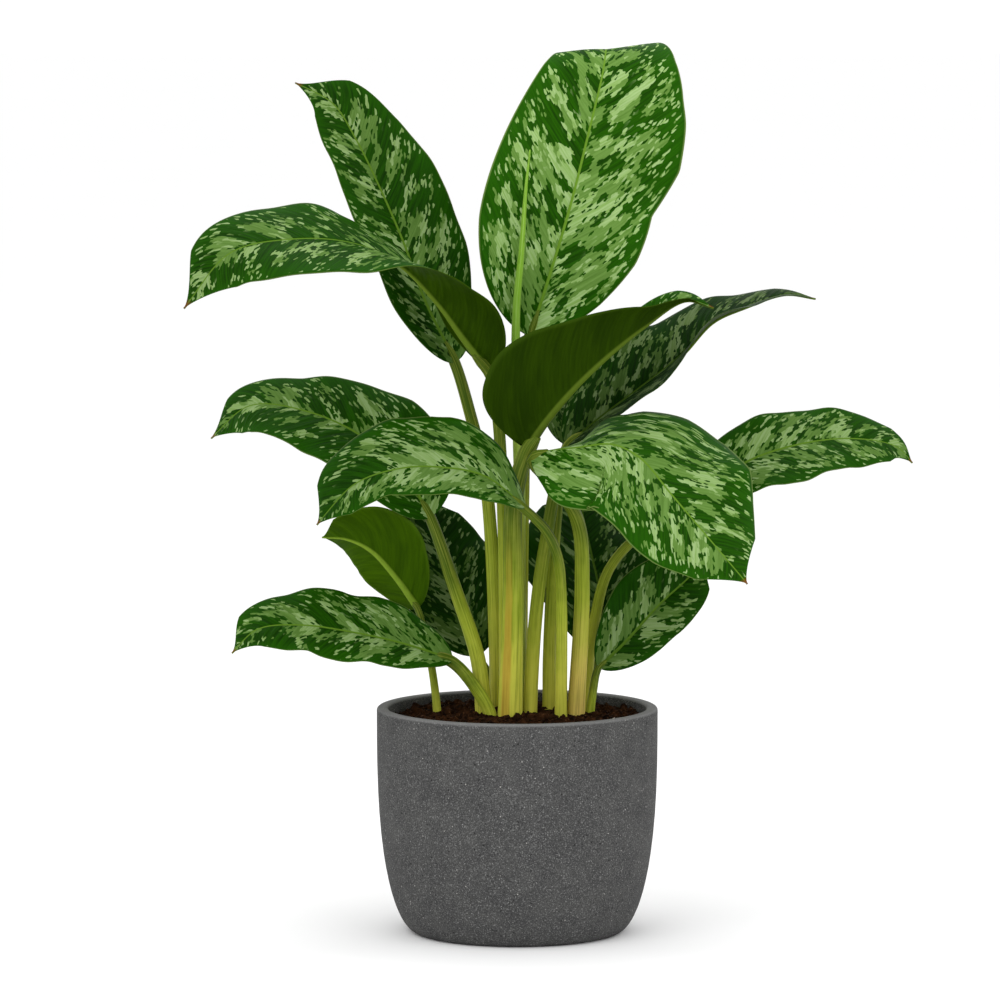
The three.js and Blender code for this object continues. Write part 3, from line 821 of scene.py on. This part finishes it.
def under_skin(name, seed, shade):
    """The plain olive underside, with a pale keel and the patches of the upper side just showing through."""
    material, wire, shader = start_material(name, roughness=0.5, specular=0.015)
    across, out, edge, share, vein = leaf_places(wire)
    streak = wire.noise(wire.vector(vein * 0.4, across * 0.05, seed * 4.1))
    shadow = wire.noise(wire.vector(vein * 0.09, across * 0.03, seed * 5.1))
    skin = (streak.between(0.2, 0.8) * 0.7).mix(OLIVE, OLIVE_LIGHT)
    skin = (shadow.between(0.45, 0.6) * 0.35).mix(skin, OLIVE_SHADOW)
    skin = (edge.between(0.9, 1.0) * 0.6).mix(skin, OLIVE_MARGIN)
    keel_reach = 2.2 - share * 1.6
    keel = 1.0 - (out - keel_reach).between(-0.8, 0.8)
    skin = keel.mix(skin, KEEL_GREEN)
    # Painted shade: shade darkens the underside of the leaves that stand in the shade of others.
    feed(shader, "Base Color", skin.brightened(shade))
    feed(shader, "Roughness", 0.46 + streak * 0.14)
    side_veins = vein * (2 * math.pi / VEIN_SPACING)
    ridge = side_veins.apply("SINE") * edge.between(1.0, 0.2)
    bump(shader, ridge * 0.4 + streak * 0.4, strength=0.5, distance=0.0008)
    return material


# How dark each leaf's mottling is, and how bright it is above and below. The brightness is partly the leaf's
# own
# tone and partly painted shade: the young crown leaf at the back is the palest, and the leaves that stand in
# the shade of the others are painted the darkest.
LEAF_TONES = {
    "crown_back": (0.0, 1.0, 1.0),
    "crown_left_tall": (0.02, 0.68, 0.8),
    "crown_left_arch": (0.02, 0.75, 0.75),
    "crown_front": (0.02, 0.85, 0.5),
    "crown_right": (0.03, 0.34, 0.6),
    "inner_back": (0.05, 0.42, 0.6),
    "mid_left_far": (0.03, 0.78, 0.8),
    "mid_left_near": (-0.015, 0.68, 0.8),
    "front_right": (0.0, 0.88, 0.8),
    "right_far": (0.0, 0.75, 0.8),
    "low_right": (0.01, 0.6, 0.8),
    "low_right_back": (0.04, 0.4, 0.6),
    "low_left_back": (0.03, 0.85, 1.1),
    "low_left": (0.0, 0.78, 0.85),
    "left_back": (0.03, 0.42, 0.6),
}

for number, (name, leaf) in enumerate(LEAVES.items()):
    dark, shade_above, shade_below = LEAF_TONES[name]
    skins = [
        upper_skin(f"{name}_upper_side", number + 1, dark, shade_above),
        under_skin(f"{name}_underside", number + 1, shade_below),
    ]
    blade = make_blade(f"{name}_leaf", leaf, number, skins)
    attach(blade, "root")
    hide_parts(f"{name}_blade")


# ---- leaf stalks ----
# Fleshy stalks, one to a leaf, each grown in one with its blade: yellowish where they stand in the soil,
# greener and darker towards the blade, where the darkness is a painted shade from the blades above, and
# finely ribbed along their length, with a shallow channel down one side.
STALK_SINK = 22
STALK_SIDES = 20
STALK_STATIONS = 70
CHANNEL_TURN = 0.8
CHANNEL_WIDTH = 0.4
CHANNEL_DEPTH = 0.13
RIBS = 7
RIB_DEPTH = 0.012


def stem_rings(path, radii, shares, sides):
    """Rings of points, in millimetres, around a smooth line, with as little twist as possible."""
    places, _ = even_places(path, shares)
    centre = smooth_line(path, places)
    forward = directions(path, places)
    side = np.cross(forward[0], (0.0, 1.0, 0.0))
    rings = []
    for middle, ahead, radius, share in zip(centre, forward, radii, shares):
        side = side - ahead * np.dot(side, ahead)
        side /= np.linalg.norm(side)
        other = np.cross(ahead, side)
        turns = 2 * math.pi * np.arange(sides) / sides
        reach = radius * np.array([stem_shape(turn, share) for turn in turns])
        rings.append(middle + np.outer(reach * np.cos(turns), side) + np.outer(reach * np.sin(turns), other))
    return np.array(rings)


def stem_shape(turn, share):
    """How far the skin stands out at an angle round a stalk: shallow ribs, and a channel on one side."""
    channel = CHANNEL_DEPTH * math.exp(-(((turn - CHANNEL_TURN) / CHANNEL_WIDTH) ** 2)) * min(3 * share, 1.0)
    return 1 + RIB_DEPTH * math.cos(RIBS * turn) - channel


def make_stem(name, rings, materials):
    stations, sides = rings.shape[:2]
    vertices = rings.reshape(-1, 3) * MM
    faces = [tuple(reversed(range(sides)))]
    for station in range(stations - 1):
        for side in range(sides):
            a = station * sides + side
            b = station * sides + (side + 1) % sides
            faces.append((a, b, b + sides, a + sides))
    faces.append(tuple((stations - 1) * sides + side for side in range(sides)))
    stem = make_object(name, vertices, faces, materials)
    layer = stem.data.uv_layers.new(name="stem_share")
    for face in stem.data.polygons:
        wraps = len(face.vertices) == 4 and max(v % sides for v in face.vertices) == sides - 1
        for loop, vertex in zip(face.loop_indices, face.vertices):
            turn = vertex % sides
            if wraps and turn == 0 and min(v % sides for v in face.vertices) == 0:
                turn = sides
            layer.data[loop].uv = (turn / sides, (vertex // sides) / (stations - 1))
    return stem


def stalk_skin(name, seed, foot_colour, middle_colour, top_colour_and_shade, stripe=None):
    material, wire, shader = start_material(name, roughness=0.45, specular=0.08)
    turn, share = wire.uv("stem_share")
    circle = turn * 2 * math.pi
    round_place = wire.vector(circle.apply("SINE"), circle.apply("COSINE"), share * 0.8 + seed * 3.0)
    ribs = wire.noise(round_place, scale=5.0)
    cloud = wire.noise(wire.vector(turn * 2.0, share * 9.0, seed * 1.7))
    skin = (share + cloud * 0.3 - 0.15).between(0.05, 0.5).mix(foot_colour, middle_colour)
    # Painted shade: towards the blade the stalk turns to its top colour, which is darkened for the shade of
    # the blades over it.
    skin = (share + cloud * 0.3 - 0.15).between(0.42, 0.8).mix(skin, top_colour_and_shade)
    skin = (ribs.between(0.4, 0.75) * 0.3).mix(skin, PALE_RIB)
    skin = (ribs.between(0.52, 0.32) * 0.45).mix(skin, DARK_RIB)
    if stripe:
        stripe_place, stripe_width, stripe_colour = stripe
        away = (turn - stripe_place).apply("ABSOLUTE") + (cloud - 0.5) * 0.05
        band = 1.0 - away.between(stripe_width * 0.5, stripe_width)
        skin = (band * share.between(0.75, 0.3) * 0.5).mix(skin, stripe_colour)
    feed(shader, "Base Color", skin)
    feed(shader, "Roughness", 0.4 + cloud * 0.2)
    bump(shader, ribs, strength=0.35, distance=0.0008)
    return material


PALE_RIB = linear(196, 196, 88)
DARK_RIB = linear(52, 76, 6)
YELLOW_FOOT = linear(204, 202, 74)
PALE_GREEN = linear(142, 158, 40)
# Painted shade: the green at the top of the stalks is darkened for the shade that the blades cast on them.
TOP_GREEN_AND_SHADE = linear(64, 88, 10)
RUST = linear(176, 118, 40)
PINK_FOOT = linear(210, 182, 96)


def stalk_path(leaf):
    """From under the soil, through the stalk's own points, into the keel on the underside of the blade."""
    x, y, z = leaf["foot"][0]
    top_radius = leaf["girth"][1]
    centre, _, up, _ = blade_frame(leaf, np.array([0.0, 0.07]))
    sink = np.array([0.55, 0.5])[:, None] * top_radius
    join = centre - up * sink
    return [(x, y, z - STALK_SINK)] + leaf["foot"] + [tuple(point) for point in join]


for number, (name, leaf) in enumerate(LEAVES.items()):
    foot_radius, top_radius = leaf["girth"]
    shares = np.linspace(0.0, 1.0, STALK_STATIONS)
    radii = np.interp(shares, [0.0, 0.97, 1.0], [foot_radius, top_radius, 0.62 * top_radius])
    rings = stem_rings(stalk_path(leaf), radii, shares, STALK_SIDES)
    stripe = (0.17, 0.09, RUST) if name == "crown_front" else None
    foot_colour = PINK_FOOT if name == "front_right" else YELLOW_FOOT
    skin = stalk_skin(f"{name}_stalk_skin", number, foot_colour, PALE_GREEN, TOP_GREEN_AND_SHADE, stripe)
    stalk = make_stem(f"{name}_leafstalk", rings, [skin])
    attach(stalk, "root")
    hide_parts(f"{name}_stalk")


# ---- new leaf ----
# The youngest leaf, still rolled up lengthwise into a light green spear that stands in front of the tallest
# leaf, with its outer edge winding round it as a low step.
NEW_LEAF_PATH = [(4, 12, 134), (2, 13, 300), (-1, 8, 438), (3, 12, 486), (6, 16, 529), (9, 19, 557)]
NEW_LEAF_RADII = [3.6, 3.6, 4.2, 3.6, 2.4, 0.6]
NEW_LEAF_SIDES = 28
NEW_LEAF_STATIONS = 120

young, wire, shader = start_material("young_leaf_skin", roughness=0.38, specular=0.12)
turn, share = wire.uv("stem_share")
streak = wire.noise(wire.vector(turn * 14.0, share * 6.0, 3.0))
patch = wire.noise(wire.vector(turn * 9.0 + share * 8.0, share * 30.0, 8.0))
skin = share.between(0.3, 0.75).mix(linear(150, 160, 58), linear(112, 158, 34))
skin = (streak.between(0.35, 0.7) * 0.5).mix(skin, linear(158, 192, 100))
skin = (patch.between(0.58, 0.62) * share.between(0.7, 0.85) * 0.6).mix(skin, linear(84, 128, 20))
feed(shader, "Base Color", skin)
feed(shader, "Roughness", 0.36 + streak * 0.12)
bump(shader, streak, strength=0.3, distance=0.0006)

shares = np.linspace(0.0, 1.0, NEW_LEAF_STATIONS)
rings = stem_rings(NEW_LEAF_PATH, along(NEW_LEAF_RADII, shares), shares, NEW_LEAF_SIDES)
places, _ = even_places(NEW_LEAF_PATH, shares)
middles = smooth_line(NEW_LEAF_PATH, places)
for station, share_here in enumerate(shares):
    seam = 0.3 + 0.35 * share_here
    roll = (np.arange(NEW_LEAF_SIDES) / NEW_LEAF_SIDES - seam) % 1.0
    rolled = 0.88 + 0.2 * roll * min(2 * share_here, 1.0)
    rings[station] = middles[station] + (rings[station] - middles[station]) * rolled[:, None]
new_leaf = make_stem("rolled_new_leaf", rings, [young])
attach(new_leaf, "root")
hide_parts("new_leaf")
